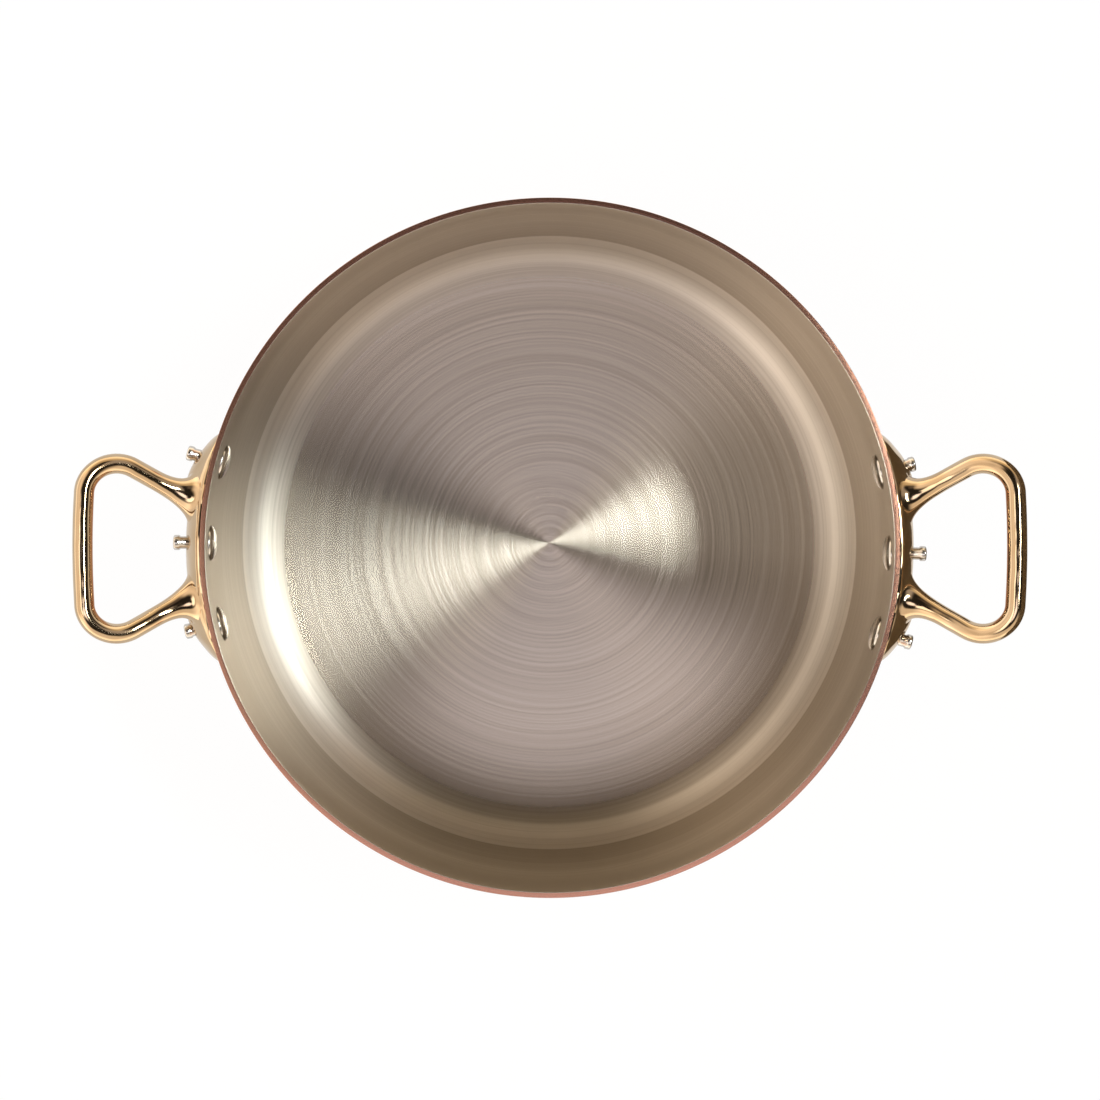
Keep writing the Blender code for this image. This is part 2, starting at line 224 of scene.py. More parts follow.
class NodeSheet:
    """The nodes of one material or world, added and linked by short calls."""

    def __init__(self, tree: bpy.types.NodeTree) -> None:
        """Take over a node tree as it is.

        Args:
            tree: The tree that nodes are added to.
        """
        self.tree = tree

    def add(self, kind: str, inputs: dict | None = None, **settings: object) -> bpy.types.Node:
        """Add a node, set it and feed its inputs.

        Args:
            kind: The node's type name without its ShaderNode prefix.
            inputs: For each input, by name or number, the output that feeds it or its fixed value.
            **settings: The node's own settings.

        Returns:
            The node.
        """
        node = self.tree.nodes.new("ShaderNode" + kind)
        for key, value in settings.items():
            setattr(node, key, value)
        for key, value in (inputs or {}).items():
            self.feed(node, key, value)
        return node

    def feed(self, node: bpy.types.Node, key: str | int, value: object) -> None:
        """Link an output to an input, or set the input's fixed value.

        Args:
            node: The node whose input it is.
            key: The input's name or number.
            value: The output that feeds it, or its fixed value.
        """
        if isinstance(value, bpy.types.NodeSocket):
            self.tree.links.new(value, node.inputs[key])
        else:
            node.inputs[key].default_value = value

    def math(self, operation: str, *values: object) -> bpy.types.NodeSocket:
        """Work out one number from others.

        Args:
            operation: The Math node's operation.
            *values: Its operands, outputs or numbers.

        Returns:
            The result's output.
        """
        return self.add("Math", dict(enumerate(values)), operation=operation).outputs[0]

    def spread(self, value: bpy.types.NodeSocket, low: float, high: float) -> bpy.types.NodeSocket:
        """Stretch the middle of a noise, where most of its values lie, over a range.

        Args:
            value: The noise's output.
            low: Result where the noise is low.
            high: Result where it is high.

        Returns:
            The result's output.
        """
        inputs = {"Value": value, "From Min": NOISE_LOW, "From Max": NOISE_HIGH}
        inputs |= {"To Min": low, "To Max": high}
        return self.add("MapRange", inputs).outputs[0]

    def step(self, value: bpy.types.NodeSocket, zero: float, one: float) -> bpy.types.NodeSocket:
        """Smooth step of a value, from 0 at one limit to 1 at the other.

        Args:
            value: The value's output.
            zero: Where the step is 0.
            one: Where it is 1.

        Returns:
            The step's output.
        """
        inputs = {"Value": value, "From Min": zero, "From Max": one}
        return self.add("MapRange", inputs, interpolation_type="SMOOTHSTEP").outputs[0]

    def tint(self, base: object, tone: object, share: object) -> bpy.types.NodeSocket:
        """Blend from a base colour towards a tone.

        Args:
            base: The colour where the share is 0, as an output or RGBA.
            tone: The colour where the share is 1.
            share: Output or number from 0 to 1.

        Returns:
            The blended colour's output.
        """
        node = self.add("Mix", data_type="RGBA")
        for key, value in (("Factor_Float", share), ("A_Color", base), ("B_Color", tone)):
            socket = next(item for item in node.inputs if item.identifier == key)
            if isinstance(value, bpy.types.NodeSocket):
                self.tree.links.new(value, socket)
            else:
                socket.default_value = value
        return next(item for item in node.outputs if item.identifier == "Result_Color")

    def noise(self, vector: bpy.types.NodeSocket, scale: float, detail: float = 2.0) -> bpy.types.NodeSocket:
        """Smooth noise at a vector.

        Args:
            vector: Where the noise is taken.
            scale: Its number of cells in a unit of the vector.
            detail: Number of finer layers added.

        Returns:
            The noise's output, about 0.3 to 0.7.
        """
        return self.add("TexNoise", {"Vector": vector, "Scale": scale, "Detail": detail}).outputs["Fac"]


def new_metal(name: str) -> tuple[bpy.types.Material, NodeSheet, bpy.types.Node]:
    """Start a metal's material.

    Args:
        name: The material's name.

    Returns:
        The material, its node sheet and its Principled shader.
    """
    material = bpy.data.materials.new(name)
    material.use_nodes = True
    shader = material.node_tree.nodes["Principled BSDF"]
    shader.inputs["Metallic"].default_value = 1.0
    return material, NodeSheet(material.node_tree), shader


@dataclass(frozen=True)
class Stretch:
    """A stretch of a turned profile, in metres along it, with its own roughness and a shift of its colour's
    tone, lighter or darker. On the lining's bend, curve and wall these shifts are painted highlight and
    painted shade.
    """

    start: float
    end: float
    fade: float
    roughness: float
    tone: float

    def window(self, sheet: NodeSheet, along: bpy.types.NodeSocket) -> bpy.types.NodeSocket:
        """Window over the stretch: a smooth step up at its start times a smooth step down at its end.

        Args:
            sheet: The material's node sheet.
            along: Distance along the profile.

        Returns:
            The window's output, from 0 to 1.
        """
        start = sheet.step(along, self.start - self.fade, self.start + self.fade)
        end = sheet.step(along, self.end + self.fade, self.end - self.fade)
        return sheet.math("MULTIPLY", start, end)


@dataclass(frozen=True)
class TurnedFinish:
    """Metal brushed or polished on a lathe, so that its fine lines run in circles about the Z axis.

    Each layer of lines is a noise that changes fast along the profile (the u of the UV map, in metres) and
    slowly round the pot (the unit vector from the axis). The lines too fine to tell apart are the shader's
    anisotropy, which spreads the reflection across them. Each stretch changes the roughness and the share of
    the tone.
    """

    name: str
    colour: tuple[float, float, float]
    tone: tuple[float, float, float]
    roughness: float
    roughness_spread: float
    anisotropy: float
    streak_width: float
    streak_depth: float
    streak_tone: tuple[float, float]
    band_width: float
    band_tone: tuple[float, float]
    arc_length: float
    edge_tint: float
    stretches: tuple[Stretch, ...] = ()

    def material(self) -> bpy.types.Material:
        """Build the material.

        Returns:
            The finished material.
        """
        material, sheet, shader = new_metal(self.name)
        place = sheet.add("TexCoord")
        profile = sheet.add("UVMap", uv_map="surface").outputs["UV"]
        along = sheet.add("SeparateXYZ", {0: profile}).outputs["X"]
        flat = sheet.add("VectorMath", {0: place.outputs["Object"], 1: (1, 1, 0)}, operation="MULTIPLY")
        outward = sheet.add("VectorMath", {0: flat.outputs[0]}, operation="NORMALIZE")
        round_ = sheet.add("SeparateXYZ", {0: outward.outputs[0]})
        streaks = self.lines(sheet, along, round_, self.streak_width)
        bands = self.lines(sheet, along, round_, self.band_width)
        fine = sheet.spread(streaks, *self.streak_tone)
        coarse = sheet.spread(bands, *self.band_tone)
        share = sheet.math("ADD", fine, coarse)
        low = self.roughness - self.roughness_spread
        high = self.roughness + self.roughness_spread
        rough = sheet.spread(streaks, low, high)
        for stretch in self.stretches:
            window = stretch.window(sheet, along)
            share = sheet.math("MULTIPLY_ADD", window, stretch.tone, share)
            rough = sheet.math("MULTIPLY_ADD", window, stretch.roughness, rough)
        sheet.feed(shader, "Base Color", sheet.tint((*self.colour, 1), (*self.tone, 1), share))
        sheet.feed(shader, "Roughness", rough)
        sheet.feed(shader, "Anisotropic", self.anisotropy)
        sheet.feed(shader, "Specular Tint", (self.edge_tint, self.edge_tint, self.edge_tint, 1))
        tangent = sheet.add("Tangent", direction_type="UV_MAP", uv_map="surface")
        sheet.feed(shader, "Tangent", tangent.outputs[0])
        bump = sheet.add("Bump", {"Height": streaks, "Strength": 1.0, "Distance": self.streak_depth})
        sheet.feed(shader, "Normal", bump.outputs[0])
        return material

    def lines(
        self,
        sheet: NodeSheet,
        along: bpy.types.NodeSocket,
        round_: bpy.types.Node,
        width: float,
    ) -> bpy.types.NodeSocket:
        """Noise drawn out into long arcs round the axis.

        Args:
            sheet: The material's node sheet.
            along: Distance along the profile.
            round_: The unit vector from the axis, in parts.
            width: Width of one line.

        Returns:
            The noise's output.
        """
        across = sheet.math("DIVIDE", along, width)
        east = sheet.math("DIVIDE", round_.outputs["X"], self.arc_length)
        north = sheet.math("DIVIDE", round_.outputs["Y"], self.arc_length)
        vector = sheet.add("CombineXYZ", {0: across, 1: east, 2: north}).outputs[0]
        return sheet.noise(vector, scale=1.0)


@dataclass(frozen=True)
class PolishedFinish:
    """Metal polished by hand: a clear reflection over a faintly wavy face with fine, random scratches."""

    name: str
    colour: tuple[float, float, float]
    tone: tuple[float, float, float]
    roughness: float
    roughness_spread: float
    wave_size: float
    wave_depth: float
    grain_size: float
    grain_depth: float
    tone_share: float

    def material(self) -> bpy.types.Material:
        """Build the material.

        Returns:
            The finished material.
        """
        material, sheet, shader = new_metal(self.name)
        place = sheet.add("TexCoord").outputs["Object"]
        waves = sheet.noise(place, 1 / self.wave_size, detail=1.0)
        grain = sheet.noise(place, 1 / self.grain_size, detail=3.0)
        colour = sheet.tint((*self.colour, 1), (*self.tone, 1), sheet.spread(waves, 0.0, self.tone_share))
        sheet.feed(shader, "Base Color", colour)
        low = self.roughness - self.roughness_spread
        high = self.roughness + self.roughness_spread
        sheet.feed(shader, "Roughness", sheet.spread(grain, low, high))
        wavy = sheet.add("Bump", {"Height": waves, "Strength": 1.0, "Distance": self.wave_depth})
        fine = {"Height": grain, "Strength": 1.0, "Distance": self.grain_depth, "Normal": wavy.outputs[0]}
        sheet.feed(shader, "Normal", sheet.add("Bump", fine).outputs[0])
        return material


LINING_FINISH = TurnedFinish(
    name="circle-brushed steel",
    colour=(0.80, 0.73, 0.65),
    tone=(0.40, 0.335, 0.265),
    roughness=0.242,
    roughness_spread=0.005,
    anisotropy=1.0,
    streak_width=0.0008,
    streak_depth=0.000005,
    streak_tone=(0.60, 0.28),
    band_width=0.005,
    band_tone=(0.06, 0.12),
    arc_length=1.8,
    edge_tint=0.66,
)
SHELL_FINISH = TurnedFinish(
    name="polished copper",
    colour=(0.84, 0.44, 0.30),
    tone=(0.40, 0.205, 0.145),
    roughness=0.15,
    roughness_spread=0.03,
    anisotropy=0.8,
    streak_width=0.0004,
    streak_depth=0.000008,
    streak_tone=(0.08, 0.30),
    band_width=0.012,
    band_tone=(0.08, 0.34),
    arc_length=0.8,
    edge_tint=1.0,
)
HANDLE_FINISH = PolishedFinish(
    name="polished cast bronze",
    colour=(0.55, 0.42, 0.28),
    tone=(0.46, 0.31, 0.165),
    roughness=0.09,
    roughness_spread=0.02,
    wave_size=0.010,
    wave_depth=0.00045,
    grain_size=0.0009,
    grain_depth=0.000004,
    tone_share=0.6,
)
RIVET_FINISH = PolishedFinish(
    name="bright rivet steel",
    colour=(0.66, 0.62, 0.57),
    tone=(0.48, 0.45, 0.41),
    roughness=0.22,
    roughness_spread=0.03,
    wave_size=0.004,
    wave_depth=0.0001,
    grain_size=0.0007,
    grain_depth=0.000006,
    tone_share=0.6,
)


# The pot


@dataclass(frozen=True)
class Pot:
    """The drawn pot: a copper shell outside and a thin steel lining bonded to its inside."""

    radius: float
    height: float
    copper: float = 0.0017
    lining: float = 0.0003
    seam: float = 0.00002
    corner: float = 0.014
    bend_angle: float = 0.4
    lip_depth: float = 0.030
    rim_rounding: float = 0.00015
    lining_rounding: float = 0.0001
    segments: int = 360
    floor_steps: int = 26
    corner_steps: int = 20
    wall_steps: int = 24
    rim_steps: int = 6

    @property
    def wall(self) -> float:
        """Thickness of the whole wall."""
        return self.copper + self.lining

    @property
    def inner_radius(self) -> float:
        """Radius of the inside of the wall."""
        return self.radius - self.wall

    def side(self, inset: float, top: float) -> np.ndarray:
        """Profile of a face this far inside the outer face, from the floor's middle up the wall.

        It is a straight floor, a quarter circle and a straight wall. All such faces share the centre of
        the corner.

        Args:
            inset: Distance inside the pot's outer face.
            top: Height at which the wall's straight stretch ends.

        Returns:
            Array of (r, z) points.
        """
        radius = self.radius - inset
        corner = self.corner + self.wall - inset
        flat = line((0.0, inset), (radius - corner, inset), self.floor_steps)
        bend = arc((radius - corner, inset + corner), corner, -math.pi / 2, 0.0, self.corner_steps)
        wall = np.linspace((radius, inset + corner), (radius, top), self.wall_steps + 1)[1:]
        return np.concatenate([flat, bend, wall])

    def shell_profile(self) -> np.ndarray:
        """Profile of the copper: its inner face, the rounded rim and its outer face back to the middle."""
        rounding = self.rim_rounding
        inside = self.side(self.copper, self.height)
        centre = (self.radius - rounding, self.height - rounding)
        rim = arc(centre, rounding, math.pi / 2, 0.0, self.rim_steps)
        outside = self.side(0.0, self.height - rounding)[:-1]
        return np.concatenate([inside, rim, outside[::-1]])

    def lining_profile(self) -> np.ndarray:
        """Profile of the steel: its inner face, its cut edge and the face bonded to the copper."""
        rounding = self.lining_rounding
        bonded = self.copper + self.seam
        inside = self.side(self.wall, self.height - rounding)[:-1]
        centre = (self.inner_radius + rounding, self.height - rounding)
        edge = arc(centre, rounding, math.pi, math.pi / 2, self.rim_steps)
        outside = self.side(bonded, self.height)
        return np.concatenate([inside, edge, outside[::-1]])

    def build(self) -> list[bpy.types.Object]:
        """Build the shell and the lining.

        Returns:
            The two pieces.
        """
        shell = turned(self.shell_profile(), self.segments)
        lining = turned(self.lining_profile(), self.segments)
        edge = run_length(self.side(self.copper, self.height))
        # The copper's cut rim is drawn darker and rougher.
        rim = Stretch(edge, edge + self.copper, fade=0.00012, roughness=0.08, tone=0.75)
        flat = self.inner_radius - self.corner
        bent = flat + self.corner * self.bend_angle
        upright = flat + self.corner * math.pi / 2
        top = run_length(self.side(self.wall, self.height))
        # Painted highlight: the start of the corner and the rest of its curve are drawn lighter (a negative
        # tone), for the bright band of light that the corner reflects. They are also rougher.
        bend = Stretch(flat, bent, fade=0.0015, roughness=0.15, tone=-0.12)
        curve = Stretch(bent, upright, fade=0.002, roughness=0.12, tone=-0.50)
        # Painted shade: the straight wall is drawn darker (a positive tone). It is also rougher.
        wall = Stretch(upright, top, fade=0.002, roughness=0.18, tone=0.40)
        # The top 30 mm of the wall is drawn a little darker and glossier.
        lip = Stretch(top - self.lip_depth, top, fade=0.020, roughness=-0.08, tone=0.15)
        copper = replace(SHELL_FINISH, stretches=(rim,))
        steel = replace(LINING_FINISH, stretches=(bend, curve, wall, lip))
        return [
            make_piece("shell", [shell], copper.material(), "copper_shell"),
            make_piece("lining", [lining], steel.material(), "steel_lining"),
        ]


# The handles and their rivets


@dataclass(frozen=True)
class RivetRow:
    """Where the three rivets of a handle sit on the wall, and the shape of each."""

    pot: Pot
    tail_end: float
    spacing: float = 0.029
    shift: float = -0.0018
    centre_depth: float = 0.0125
    side_drop: float = 0.0045
    shank_radius: float = 0.00265
    head_radius: float = 0.0062
    head_height: float = 0.0022
    tail_chamfer: float = 0.0006
    neck_radius: float = 0.0022
    tail_head: float = 0.0019
    head_sink: float = 0.00005
    segments: int = 48
    head_steps: int = 14
    chamfer_steps: int = 4

    def height(self, place: int) -> float:
        """Height of a rivet's axis: the side rivets sit a little lower than the middle one."""
        return self.pot.height - self.centre_depth - self.side_drop * abs(place)

    def angle(self, place: int) -> float:
        """Angle of a rivet's axis round the pot, from the middle of its handle."""
        return (place * self.spacing + self.shift) / self.pot.radius

    def local_grid(self) -> np.ndarray:
        """Grid of one rivet, as (along the wall, up, distance from the pot's axis).

        The head is half an ellipsoid. Its edge runs down to the wall, whose inner face at s along the wall
        lies sqrt(inner radius^2 - s^2) from the pot's axis. The tail is a short head on a thinner neck.

        Returns:
            Grid of points, from the top of the head to the end of the tail.
        """
        turn = np.linspace(0, FULL_TURN, self.segments, endpoint=False)
        inner = self.pot.inner_radius
        seat = math.sqrt(inner**2 - self.head_radius**2)
        tilt = np.linspace(0, math.pi / 2, self.head_steps + 1)
        dome = np.stack([self.head_radius * np.sin(tilt), seat - self.head_height * np.cos(tilt)], axis=-1)
        end = self.tail_end - self.tail_chamfer
        chamfer_centre = (self.shank_radius - self.tail_chamfer, end)
        chamfer = arc(chamfer_centre, self.tail_chamfer, 0, math.pi / 2, self.chamfer_steps)
        collar = self.tail_end - self.tail_head
        neck = [[self.neck_radius, inner + self.head_sink], [self.neck_radius, collar - self.tail_chamfer]]
        pin = np.concatenate([neck, [[self.shank_radius, collar]], chamfer, [[0.0, self.tail_end]]])
        profile = np.concatenate([dome, dome[-1:], pin])
        radius = np.broadcast_to(profile[:, :1], (len(profile), self.segments))
        distance = np.broadcast_to(profile[:, 1:], radius.shape).copy()
        skirt = len(dome)
        distance[skirt] = np.sqrt(inner**2 - (radius[skirt] * np.cos(turn)) ** 2) + self.head_sink
        return np.stack([radius * np.cos(turn), radius * np.sin(turn), distance], axis=-1)

    def build(self, side: Side, material: bpy.types.Material) -> list[bpy.types.Object]:
        """Build the three rivets of one handle.

        Args:
            side: The handle's side.
            material: The rivets' material.

        Returns:
            The three pieces.
        """
        along, up, out = np.moveaxis(self.local_grid(), -1, 0)
        pieces = []
        for number, place in enumerate((-1, 0, 1), start=1):
            a = self.angle(place)
            x = out * math.cos(a) - along * math.sin(a)
            y = out * math.sin(a) + along * math.cos(a)
            grid = np.stack([side.sign * x, side.sign * y, up + self.height(place)], axis=-1)
            name = f"pin_{side.value}_{number}"
            node = f"rivet_{side.value}_{number}"
            pieces.append(make_piece(name, [grid], material, node))
        return pieces


@dataclass(frozen=True)
class Handle:
    """One cast handle: a flange on the wall, and a round bar bent into a loop with spreading roots."""

    pot: Pot
    rivets: RivetRow
    seat_gap: float = 0.00002
    face_gap: float = 0.0002
    flange_thickness: float = 0.0060
    centre_half_height: float = 0.0100
    lobe_radius: float = 0.0116
    edge_share: float = 0.14
    slope_share: float = 0.85
    slope_power: float = 1.35
    swell: float = 0.0022
    swell_offset: float = 0.0220
    swell_spread: float = 0.0140
    bar_radius: float = 0.00345
    reach: float = 0.0387
    foot_offset: float = 0.0170
    foot_depth: float = 0.0090
    leg_angle: float = math.radians(30.5)
    corner_radius: float = 0.0105
    rise: float = math.radians(23.0)
    bow: float = 0.0005
    root_length: float = 0.0120
    root_half_width: float = 0.0092
    root_half_height: float = 0.0058
    root_roundness: float = 0.5
    root_sink: float = 0.00015
    edge_steps: int = 48
    lobe_steps: int = 24
    slope_steps: int = 14
    top_steps: int = 6
    back_steps: int = 4
    bar_sides: int = 48
    leg_steps: int = 10
    corner_steps: int = 22
    bar_steps: int = 14
    root_steps: int = 16

    def spine(self, s: np.ndarray) -> np.ndarray:
        """Height of the flange's middle line. It falls with the square of s to the side rivets."""
        share = np.minimum(np.abs(s) / self.rivets.spacing, 1.0)
        return self.pot.height - self.rivets.centre_depth - self.rivets.side_drop * share**2

    def half_height(self, s: np.ndarray) -> np.ndarray:
        """Half the flange's height at s: it grows with the square of s from the centre to the lobes."""
        share = np.minimum(np.abs(s) / self.rivets.spacing, 1.0)
        return self.centre_half_height + (self.lobe_radius - self.centre_half_height) * share**2

    def depth(self, s: np.ndarray, share: np.ndarray) -> np.ndarray:
        """Depth of the flange's outer face outside the wall.

        The face rises from the edge to its full thickness in a quarter of a superellipse, (1 - x^p)^(1/p),
        which is flatter than a quarter circle. The full thickness has a cosine-shaped swelling about the foot
        of each leg.

        Args:
            s: Distance along the wall from the handle's middle.
            share: 0 on the flange's spine and 1 at its edge.

        Returns:
            Depth at each point.
        """
        away = np.minimum(np.abs(np.abs(s) - self.swell_offset) / self.swell_spread, 1.0)
        full = self.flange_thickness + self.swell * (1 + np.cos(math.pi * away)) / 2
        across = 1 - np.minimum((1 - share) / self.slope_share, 1.0)
        edge = self.edge_share * self.flange_thickness
        rise = (1 - across**self.slope_power) ** (1 / self.slope_power)
        return self.face_gap + edge + (full - edge) * rise

    def face_depth(self, points: np.ndarray) -> np.ndarray:
        """Depth of the flange's outer face at points (s, z), by their distance from the spine.

        Args:
            points: Array of (s, z).

        Returns:
            Depth at each point.
        """
        s = points[:, 0]
        share = np.abs(points[:, 1] - self.spine(s)) / self.half_height(s)
        return self.depth(s, np.minimum(share, 1.0))

    def on_wall(self, s: np.ndarray, z: np.ndarray, depth: np.ndarray) -> np.ndarray:
        """Points at s along the wall, at height z and this far outside its face.

        With a = s / R they are ((R + depth) cos a, (R + depth) sin a, z).

        Args:
            s: Distance along the wall from the handle's middle.
            z: Height.
            depth: Distance outside the wall's face.

        Returns:
            Array of points.
        """
        angle = s / self.pot.radius
        radius = self.pot.radius + depth
        return np.stack(np.broadcast_arrays(radius * np.cos(angle), radius * np.sin(angle), z), axis=-1)

    def outline(self) -> tuple[np.ndarray, np.ndarray]:
        """Points of the flange's spine and of its edge, in step with each other, once round.

        Above and below, the edge lies the half height from the spine. Each end is half a circle about the
        end of the spine.

        Returns:
            Spine and edge as arrays of (s, z).
        """
        spacing = self.rivets.spacing
        spines = []
        edges = []
        for sign in (1.0, -1.0):
            s = sign * spacing * (2 * np.arange(self.edge_steps) / self.edge_steps - 1)
            spine = np.stack([s, self.spine(s)], axis=-1)
            rise = sign * np.stack([np.zeros_like(s), self.half_height(s)], axis=-1)
            turn = sign * math.pi / 2 - math.pi * np.arange(self.lobe_steps) / self.lobe_steps
            hub = np.array([[sign * spacing, float(self.spine(spacing))]])
            round_end = self.lobe_radius * np.stack([np.cos(turn), np.sin(turn)], axis=-1)
            spines += [spine, np.repeat(hub, self.lobe_steps, axis=0)]
            edges += [spine + rise, hub + round_end]
        return np.concatenate(spines), np.concatenate(edges)

    def flange(self) -> np.ndarray:
        """Grid of the flange: back face from the spine to the edge, then the outer face back to the spine.

        Returns:
            Grid of points.
        """
        spine, edge = self.outline()
        slope = 1 - self.slope_share * (1 - np.cos(np.linspace(0, math.pi / 2, self.slope_steps + 1)))
        top = np.linspace(slope[-1], 0.0, self.top_steps + 1)[1:]
        share = np.concatenate([slope, top])[:, None, None]
        front = spine + (edge - spine) * share
        back = spine + (edge - spine) * np.linspace(0.0, 1.0, self.back_steps + 1)[:, None, None]
        outer = self.on_wall(front[..., 0], front[..., 1], self.depth(front[..., 0], share[..., 0]))
        inner = self.on_wall(back[..., 0], back[..., 1], np.array(self.seat_gap))
        return np.concatenate([inner, outer])

    def foot(self) -> np.ndarray:
        """Point on the flange's face where the middle line of a leg comes out of it."""
        s = np.array(self.foot_offset)
        return self.on_wall(s, np.array(self.pot.height - self.foot_depth), self.depth(s, np.array(0.0)))

    def leg_direction(self) -> np.ndarray:
        """Unit vector along which a leg runs out from the flange."""
        direction = np.array([1.0, math.tan(self.leg_angle), math.tan(self.rise)])
        return direction / np.linalg.norm(direction)

    def loop_line(self) -> np.ndarray:
        """Middle line of half the loop: a straight leg, a round corner, and half the bowed bar.

        The bar's distance outwards is its reach plus bow (1 - t^2), with t from 1 at the corner to 0 in the
        middle. The height follows the plane through both feet that rises outwards.

        Returns:
            Array of points, from where the leg leaves its root to the middle of the bar.
        """
        slope = math.tan(self.leg_angle)
        foot = self.foot()
        radius = self.corner_radius
        bar_x = self.pot.radius + self.reach
        centre_x = bar_x - radius
        touch_x = centre_x - radius * math.sin(self.leg_angle)
        touch_y = foot[1] + slope * (touch_x - foot[0])
        centre_y = touch_y - radius * math.cos(self.leg_angle)
        start_x = (foot + self.leg_direction() * self.root_length)[0]
        leg_x = np.linspace(start_x, touch_x, self.leg_steps, endpoint=False)
        leg = np.stack([leg_x, foot[1] + slope * (leg_x - foot[0])], axis=-1)
        corner = arc((centre_x, centre_y), radius, math.pi / 2 + self.leg_angle, 0.0, self.corner_steps)
        share = np.linspace(1.0, 0.0, self.bar_steps + 1)[1:]
        bar = np.stack([bar_x + self.bow * (1 - share**2), centre_y * share], axis=-1)
        flat = np.concatenate([leg, corner, bar])
        z = foot[2] + (flat[:, :1] - foot[0]) * math.tan(self.rise)
        return np.concatenate([flat, z], axis=-1)

    def bar_rings(self) -> np.ndarray:
        """Rings of the round bar along half the loop: centre + radius (aside cos a + across sin a).

        Returns:
            Grid of points.
        """
        middle = self.loop_line()
        after = middle[-2:-1] * (1, -1, 1)
        along = np.gradient(np.concatenate([middle, after]), axis=0)[:-1]
        across = np.array([-math.sin(self.rise), 0.0, math.cos(self.rise)])
        aside = np.cross(across, along)
        aside /= np.linalg.norm(aside, axis=-1, keepdims=True)
        turn = np.linspace(0, FULL_TURN, self.bar_sides, endpoint=False)[None, :, None]
        return middle[:, None] + self.bar_radius * (aside[:, None] * np.cos(turn) + across * np.sin(turn))

    def root_rings(self, first: np.ndarray) -> np.ndarray:
        """Rings of a leg's root, from inside the flange up to the leg's first ring.

        The foot is an ellipse on the flange's face. Each side is a cubic Bezier curve, which leaves along
        that face and reaches the leg along its middle line.

        Args:
            first: The leg's first ring.

        Returns:
            Grid of points without that ring.
        """
        turn = np.linspace(0, FULL_TURN, self.bar_sides, endpoint=False)
        foot = self.foot()
        side = np.stack([self.root_half_width * np.cos(turn), self.root_half_height * np.sin(turn)], axis=-1)
        edge = np.array([self.foot_offset, foot[2]]) + side
        inner = edge - side * (1 - self.root_roundness)
        depth = self.face_depth(edge)
        low = self.on_wall(edge[:, 0], edge[:, 1], depth - self.root_sink)
        spread = self.on_wall(inner[:, 0], inner[:, 1], self.face_depth(inner) + self.root_sink)
        run_in = first - self.leg_direction() * self.root_length * self.root_roundness
        t = np.linspace(0, 1, self.root_steps, endpoint=False)[:, None, None]
        rings = (
            low * (1 - t) ** 3
            + spread * 3 * t * (1 - t) ** 2
            + run_in * 3 * t**2 * (1 - t)
            + first * t**3
        )
        base = self.on_wall(edge[:, 0], edge[:, 1], depth / 2)
        pole = np.broadcast_to(base.mean(axis=0), base.shape)
        return np.concatenate([[pole], [base], rings])

    def loop(self) -> np.ndarray:
        """Grid of the whole loop with a root at each end. The second half is the first mirrored in Y."""
        bar = self.bar_rings()
        half = np.concatenate([self.root_rings(bar[0]), bar])
        return np.concatenate([half, half[-2::-1] * (1, -1, 1)])

    def build(self, side: Side, material: bpy.types.Material) -> bpy.types.Object:
        """Build one handle.

        Args:
            side: The side that it is on.
            material: Its metal.

        Returns:
            The piece.
        """
        place = np.array([side.sign, side.sign, 1.0])
        grids = [self.flange() * place, self.loop() * place]
        return make_piece(f"casting_{side.value}", grids, material, f"handle_{side.value}")


# The studio


@dataclass(frozen=True)
class SoftPanel:
    """An evenly lit, soft-edged panel on the studio's dome. Its angles are in degrees."""

    name: str
    azimuth: float
    half_width: float
    low: float
    high: float
    side_softness: tuple[float, float]
    edge_softness: float
    radiance: tuple[float, float, float]

    def add(self, sheet: NodeSheet, direction: bpy.types.Node) -> bpy.types.NodeSocket:
        """Light of this panel by direction: radiance x side window x edge window.

        The side window is a smooth step up and one down by the angle from the panel's azimuth, each with its
        own softness. The edge window is a smooth step up and one down by the direction's height.

        Args:
            sheet: The world's node sheet.
            direction: The direction, in parts.

        Returns:
            The light's colour output.
        """
        azimuth = math.radians(self.azimuth)
        east = math.cos(azimuth)
        north = math.sin(azimuth)
        x = direction.outputs["X"]
        y = direction.outputs["Y"]
        ahead = sheet.math("ADD", sheet.math("MULTIPLY", x, east), sheet.math("MULTIPLY", y, north))
        aside = sheet.math("SUBTRACT", sheet.math("MULTIPLY", y, east), sheet.math("MULTIPLY", x, north))
        angle = sheet.math("DEGREES", sheet.math("ARCTAN2", aside, ahead))
        low_side, high_side = (softness / 2 for softness in self.side_softness)
        start = sheet.step(angle, -self.half_width - low_side, -self.half_width + low_side)
        end = sheet.step(angle, self.half_width + high_side, self.half_width - high_side)
        side = sheet.math("MULTIPLY", start, end)
        height = direction.outputs["Z"]
        half = self.edge_softness / 2
        bottom = sheet.step(height, self.rise(self.low - half), self.rise(self.low + half))
        top = sheet.step(height, self.rise(self.high + half), self.rise(self.high - half))
        window = sheet.math("MULTIPLY", sheet.math("MULTIPLY", bottom, top), side)
        scaled = sheet.add("VectorMath", {0: self.radiance, "Scale": window}, operation="SCALE")
        return scaled.outputs[0]

    @staticmethod
    def rise(elevation: float) -> float:
        """Height of the unit vector at an elevation in degrees."""
        return math.sin(math.radians(elevation))


